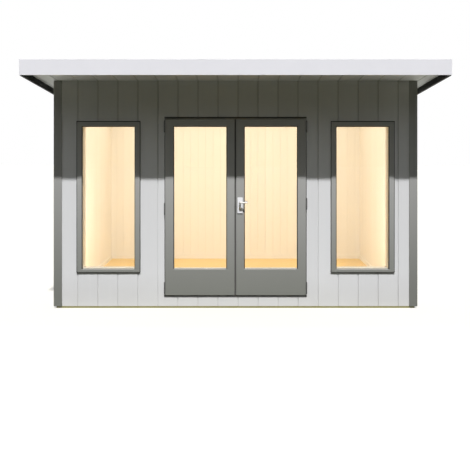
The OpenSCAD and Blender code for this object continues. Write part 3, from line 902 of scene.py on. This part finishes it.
rubber_strip("left_meeting_seal", (-step_edge + MEET_FIT, step_y - LEFT_DEPTH, meet_low),
             (-MEET_CLEAR, step_y, meet_high), "left_door", finish=grey_rubber)
rubber_strip("right_meeting_seal", (-MEET_LAP, step_y + RIGHT_DEPTH[0], meet_low),
             (leaf_low.x, step_y + RIGHT_DEPTH[1], meet_high), "right_door", finish=grey_rubber)
for side, name in ((-1, "left"), (1, "right")):
    near, far = sorted((side * jamb_x, side * (stop_x + STOP_WIDER)))
    rubber_strip(name + "_stop_seal", (near, stop_y - STOP_DEPTH, sill_z), (far, stop_y, head_z), "building")

# %% [markdown]
# ## Door hardware
# The hinges, plates, lock and lever are nodes already, and their smallest parts are added here.
# Each hinge pin ends in a small dome: half a sphere, with its flat side inset and extruded into a
# neck. The joints say where the pins stand, and the knuckles' corners how high each hinge is.

# %% Hinge pin tips
TIP_R = 0.0045
TIP_NECK = (0.0015, 0.001)
HINGE_LEVELS = 4
SMOOTH_ANGLE = math.radians(40)
joint_place = {joint["name"]: Vector(joint["pos_m"]) for joint in frame["joints"]}


def pin_tip(place, up):
    """A dome on a short neck that stands on a knuckle's end, or hangs under it."""
    tip = added(bpy.ops.mesh.primitive_uv_sphere_add, "pin_tip", segments=16, ring_count=8, radius=TIP_R)
    cut_off(tip, (0, 0, 0), (0, 0, -1))
    edit_selected(tip, "FACE", lambda face: face.normal.z < -FACING)
    bpy.ops.mesh.inset(thickness=TIP_NECK[0])
    bpy.ops.mesh.extrude_region_move(TRANSFORM_OT_translate={"value": (0, 0, -TIP_NECK[1])})
    bpy.ops.object.mode_set(mode="OBJECT")
    bpy.ops.object.shade_smooth_by_angle(angle=SMOOTH_ANGLE)
    rise = Vector((0, 0, TIP_NECK[1] if up else -TIP_NECK[1]))
    put(tip, (0 if up else math.pi, 0, 0), Vector(place) + rise)
    return tip


def hinge_pin_tips(side):
    pin = joint_place[side + "_door_swing"]
    knuckles = [c for c in corners("frame_hinges") if c.x * pin.x > 0 and c.y < pin.y]
    levels = sorted({round(c.z, 4) for c in knuckles})
    tips = [pin_tip((pin.x, pin.y, z), False) for z in levels[::HINGE_LEVELS]]
    tips += [pin_tip((pin.x, pin.y, z), True) for z in levels[HINGE_LEVELS - 1::HINGE_LEVELS]]
    joined = join_pieces(side + "_pin_tips", tips)
    hand_over(joined, "building", hinge_finish)


hinge_pin_tips("left")
hinge_pin_tips("right")

# %% [markdown]
# The lever turns in a collar on each plate. A collar starts as a small block, of which only the
# edges of one end are kept. Spin turns that loop once round the lever's axis. Its first and last
# loop then lie on each other, so doubles are merged and the normals recalculated. The lock's plug
# is a cylinder with its rim bevelled and a key slot cut into it.

# %% Collars round the lever
COLLAR = (0.0098, 0.0132, 0.004)
COLLAR_ROUND = 0.001
COLLAR_STEPS = 40
lever = joint_place["lever_turn"]
plate_low, plate_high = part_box("handle_backplates")


def lever_collar(name, face, outward):
    """A ring on a plate's face, standing out along -Y or +Y."""
    inner, outer, rise = COLLAR
    near, far = sorted((face, face + outward * rise))
    collar = add_block(name, (lever.x + inner, near, lever.z - NEAR), (lever.x + outer, far, lever.z))
    bevel_edges(collar, lambda e: runs_along(e, 2) and abs(e.verts[0].co.y - face) > NEAR, COLLAR_ROUND, 3)
    edit_selected(collar, "FACE", lambda f: f.normal.z > -FACING)
    bpy.ops.mesh.delete(type="FACE")
    bpy.ops.mesh.select_all(action="SELECT")
    bpy.ops.mesh.delete(type="ONLY_FACE")
    edit_selected(collar, "EDGE")
    bpy.ops.mesh.spin(steps=COLLAR_STEPS, angle=2 * math.pi, center=lever, axis=(0, 1, 0))
    bpy.ops.mesh.select_all(action="SELECT")
    bpy.ops.mesh.remove_doubles(threshold=0.00001)
    bpy.ops.mesh.normals_make_consistent(inside=False)
    bpy.ops.object.mode_set(mode="OBJECT")
    bpy.ops.object.shade_smooth_by_angle(angle=SMOOTH_ANGLE)
    hand_over(collar, "right_door", plate_enamel)


lever_collar("outer_lever_collar", plate_low.y, -1)
lever_collar("inner_lever_collar", plate_high.y, 1)

# %% Lock plugs
PLUG = (0.0062, 0.0008)
PLUG_RIM = 0.0003
KEY_SLOT = (0.0014, 0.0076, 0.0006)


def lock_plug(name, face, outward):
    """A round plug on the end of the lock, with a slot for the key."""
    lock_low, lock_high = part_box("lock_cylinder")
    radius = (lock_high.x - lock_low.x) / 2
    centre = Vector(((lock_low.x + lock_high.x) / 2, face + outward * PLUG[1] / 2, lock_high.z - radius))
    plug = added(bpy.ops.mesh.primitive_cylinder_add, name, vertices=32, radius=PLUG[0], depth=PLUG[1])
    put(plug, (math.pi / 2, 0, 0), centre)
    front = face + outward * PLUG[1]
    bevel_edges(plug, lambda e: all(abs(v.co.y - front) < NEAR / 5 for v in e.verts), PLUG_RIM)
    slot = Vector((KEY_SLOT[0] / 2, KEY_SLOT[2], KEY_SLOT[1] / 2))
    middle = Vector((centre.x, front, centre.z))
    cut_hole(plug, middle - slot, middle + slot)
    hand_over(plug, "right_door", lock_brass)


lock_plug("outer_lock_plug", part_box("lock_cylinder")[0].y, -1)
lock_plug("inner_lock_plug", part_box("lock_cylinder")[1].y, 1)

# %% [markdown]
# ## Weather strips with painted shade, and eaves strips
# Black strips over the doors and the windows throw rain clear of their top edges, and they are
# painted shade too: they stand in for the shade in the gap over each top edge. Under the two side
# fascias runs a black angle that drips water off before it reaches the soffit. The angle is a block
# with a smaller block cut out of it, turned down by the roof's pitch and cut off upright at both ends.

# %% Strips over the doors and the windows
HEAD_STRIP = (0.0085, 0.004)
DRIP_AND_SHADE_SIZE = (0.008, 0.002)
head_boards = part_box("front_head_cladding")[0]
# Painted shade: the black strips also stand in for the shade over the door and window heads.
rubber_strip("head_weather_strip_and_shade", (-jamb_x, head_boards.y - HEAD_STRIP[1], head_boards.z),
             (jamb_x, head_boards.y, head_boards.z + HEAD_STRIP[0]), "building", 0)
for side in ("left", "right"):
    low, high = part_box(side + "_window_frame")
    rubber_strip(side + "_window_drip_and_shade", (low.x, low.y - DRIP_AND_SHADE_SIZE[1], high.z - DRIP_AND_SHADE_SIZE[0]),
                 (high.x, low.y + DRIP_AND_SHADE_SIZE[1], high.z), "building", 0)

# %% Eaves angles
ANGLE_LEG = 0.004
ANGLE_SPARE = 0.02
ANGLE_GAP = 0.0005
LONG_EDGE = 1.0


def eaves_angle(side):
    low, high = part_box("side_fascias")
    width = high.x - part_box("soffit_boards")[1].x
    run = (high.y - low.y) / math.cos(pitch)
    front_z = lowest_at("side_fascias", low.y)
    drop = (soffit_z(low.y) - front_z) * math.cos(pitch)
    angle = add_block(("left" if side < 0 else "right") + "_eaves_angle",
                      (-width - ANGLE_LEG, -ANGLE_SPARE, -ANGLE_LEG),
                      (0, run + ANGLE_SPARE, drop - ANGLE_GAP))
    cut_hole(angle, (-width, -WIDE, 0), (WIDE, run + WIDE, drop + WIDE))
    if side < 0:
        angle.scale.x = -1
        apply_place(angle)
        edit_selected(angle)
        bpy.ops.mesh.flip_normals()
        bpy.ops.object.mode_set(mode="OBJECT")
    put(angle, (-pitch, 0, 0), (side * high.x, low.y, front_z))
    cut_off(angle, low, (0, -1, 0))
    cut_off(angle, high, (0, 1, 0))
    bevel_edges(angle, lambda e: abs((e.verts[1].co - e.verts[0].co).y) > LONG_EDGE, SEAL_ARRIS)
    hand_over(angle, "building", black_rubber)


eaves_angle(-1)
eaves_angle(1)

# %% [markdown]
# ## Roof covering
# The flat rubber sheet is laid in three widths that lap over each other, and a white edge trim
# holds it down all round. Each width is a thin block with rounded edges; laps show as low steps.
# The trim is a ring, made like the seals: a plane, inset once and thickened.

# %% Roof sheet and edge trim
SHEETS = 3
LAP = 0.06
SHEET_ROUND = 0.0004
TRIM_BAND = 0.045
TRIM_LAP = 0.004
TRIM_DROP = 0.0003
TRIM_ROUND = 0.0006

low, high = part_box("roof_sheet")
run = (high.y - low.y) / math.cos(pitch)
back_z = lowest_at("roof_sheet", high.y)
thick = (high.z - lowest_at("roof_sheet", low.y)) * math.cos(pitch)
span = (high.x - low.x - 2 * TRIM_BAND + (SHEETS - 1) * LAP) / SHEETS
pieces = []
for index in range(SHEETS):
    left = low.x + TRIM_BAND + index * (span - LAP)
    lift = thick / 3 if index % 2 else 0
    sheet = add_block("roof_membrane", (left, -run + TRIM_BAND, lift),
                      (left + span, -TRIM_BAND, lift + thick / 2))
    bevel_edges(sheet, lambda e: all(v.co.z > lift + thick / 4 for v in e.verts), SHEET_ROUND)
    pieces.append(sheet)
membrane = join_pieces("roof_membrane", pieces)
centre = ((low.x + high.x) / 2, -run / 2, 0)
trim = flat_ring("roof_edge_trim", centre, (high.x - low.x, run), (0, 0, 0), TRIM_BAND + TRIM_LAP,
                 thick - TRIM_DROP, 1.0)
bevel_edges(trim, lambda e: all(v.co.z > thick / 2 for v in e.verts) and runs_along(e, 0, 1), TRIM_ROUND)
for piece in (membrane, trim):
    put(piece, (-pitch, 0, 0), (0, high.y, back_z))
cut_off(trim, low, (0, -1, 0))
cut_off(trim, high, (0, 1, 0))
hand_over(membrane, "building", rubber_roof, "roof_sheet")
hand_over(trim, "building", fascia_finish, "roof_sheet")

# %% [markdown]
# ## Studio: floor and light
# The pod stands on a plain pale floor. A sun from the front right throws the shadow of the roof
# across the doors, and a soft dome fills the shade. The dome and the floor look white to the
# camera, to reflections and through glass. To the matt surfaces of the front they are dimmer, so
# the shade under the roof stays deep: the Light Path node tells the two apart.

# %% Floor
FLOOR_SIZE = 80.0
FLOOR_GLOW = 0.46
FLOOR_WHITE = (0.42, 0.42, 0.42)
FLOOR_NEAR = (0.345, 0.335, 0.285)
FLOOR_BOUNCE_FRONT = (0.094, 0.093, 0.064)
FLOOR_BOUNCE_SIDES = (0.032, 0.032, 0.020)
FLOOR_BOUNCE_BACK = (0.95, 0.95, 0.85)
ASIDE = (0.6, 2.0)
BEHIND = (-1.2, -0.6)
NEARBY = (-3.0, -1.6)


def seen_plainly(tree):
    """1 for rays from the camera, from reflections and through glass, and 0 for others."""
    path = add_node(tree, "ShaderNodeLightPath")
    seen = math_node(tree, "MAXIMUM", path.outputs["Is Camera Ray"], path.outputs["Is Glossy Ray"])
    return math_node(tree, "MAXIMUM", seen, path.outputs["Is Transmission Ray"])


def compass(tree, kind):
    """The X, Y and Z of a texture coordinate."""
    coordinate = add_node(tree, "ShaderNodeTexCoord").outputs[kind]
    return add_node(tree, "ShaderNodeSeparateXYZ", Vector=coordinate).outputs


floor = added(bpy.ops.mesh.primitive_plane_add, "studio_floor", size=FLOOR_SIZE)
edit_selected(floor)
bpy.ops.mesh.subdivide(number_cuts=3)
bpy.ops.object.mode_set(mode="OBJECT")
made = bpy.data.materials.new("studio floor")
made.use_nodes = True
tree = made.node_tree
tree.nodes.remove(tree.nodes["Principled BSDF"])
place = compass(tree, "Object")
aside = spread(tree, math_node(tree, "ABSOLUTE", place["X"]), 0.0, 1.0, *ASIDE)
front = mix_colours(tree, aside, FLOOR_BOUNCE_FRONT, FLOOR_BOUNCE_SIDES)
bounce = mix_colours(tree, spread(tree, place["Y"], 0.0, 1.0, *BEHIND), front, FLOOR_BOUNCE_BACK)
plain = mix_colours(tree, spread(tree, place["Y"], 0.0, 1.0, *NEARBY), FLOOR_WHITE, FLOOR_NEAR)
seen = seen_plainly(tree)
matt = add_node(tree, "ShaderNodeBsdfDiffuse", Color=mix_colours(tree, seen, bounce, plain))
glow = add_node(tree, "ShaderNodeEmission", Strength=math_node(tree, "MULTIPLY", seen, FLOOR_GLOW))
both = add_node(tree, "ShaderNodeAddShader")
feed(tree, both.inputs[0], matt.outputs[0])
feed(tree, both.inputs[1], glow.outputs[0])
feed(tree, tree.nodes["Material Output"].inputs["Surface"], both.outputs[0])
floor.data.materials.append(made)
print(floor.name, "is stage, and not part of the pod")

# %% Dome
DOME_FRONT = 0.56
DOME_BACK = 0.75
DOME_TINT = (0.95, 0.97, 1.05, 1.0)
DOME_RISE = (0.2, 0.5)
DOME_TURN = (-0.2, 0.7)

world = bpy.data.worlds.new("studio dome")
bpy.context.scene.world = world
world.use_nodes = True
tree = world.node_tree
place = compass(tree, "Generated")
high = spread(tree, place["Z"], 0.0, DOME_FRONT, *DOME_RISE)
behind = spread(tree, place["Y"], 0.0, DOME_BACK, *DOME_TURN)
dim = tree.nodes["Background"]
feed(tree, dim.inputs["Color"], DOME_TINT)
feed(tree, dim.inputs["Strength"], math_node(tree, "MAXIMUM", high, behind))
white = add_node(tree, "ShaderNodeBackground", Strength=1.0, Color=(1.0, 1.0, 1.0, 1.0))
mix_shaders(tree, seen_plainly(tree), dim, white, "World Output")
print(world.name, "front", DOME_FRONT, "back", DOME_BACK)

# %% Sun
SUN_ELEVATION = math.radians(58.35)
SUN_FROM_RIGHT = math.radians(5.0)
SUN_STRENGTH = 5.08
SUN_ANGLE = math.radians(1.3)
SUN_COLOUR = (0.955, 0.952, 1.0)

sun = added(bpy.ops.object.light_add, "sun", type="SUN",
            rotation=(math.pi / 2 - SUN_ELEVATION, 0, SUN_FROM_RIGHT))
sun.data.energy = SUN_STRENGTH
sun.data.angle = SUN_ANGLE
sun.data.color = SUN_COLOUR
print("sun strength", SUN_STRENGTH)

# %% Lamps in the room
# Two lamps wash the back wall, and a wide one under the ceiling lights the floor and all walls. They
# are hidden from the camera, from reflections and through glass.
BACK_POWERS = {-0.96: 12.3, 0.96: 11.1}
BACK_PLACE = (-0.75, 0.75)
BACK_SIZE = (0.6, 1.3)
CEILING_POWER = 21.2
CEILING_PLACE = (0, 0.2, 2.0)
CEILING_SIZE = (3.2, 1.9)
LAMP_COLOUR = (0.90, 0.905, 0.93)


def room_lamp(name, place, turn, size, power):
    lamp = added(bpy.ops.object.light_add, name, type="AREA", location=place, rotation=turn)
    lamp.data.shape = "RECTANGLE"
    lamp.data.size, lamp.data.size_y = size
    lamp.data.energy = power
    lamp.data.color = LAMP_COLOUR
    lamp.visible_camera = lamp.visible_glossy = lamp.visible_transmission = False


for across, power in BACK_POWERS.items():
    room_lamp("back wall lamp", (across, *BACK_PLACE), (math.pi / 2, 0, 0), BACK_SIZE, power)
room_lamp("ceiling lamp", CEILING_PLACE, (0, 0, 0), CEILING_SIZE, CEILING_POWER)
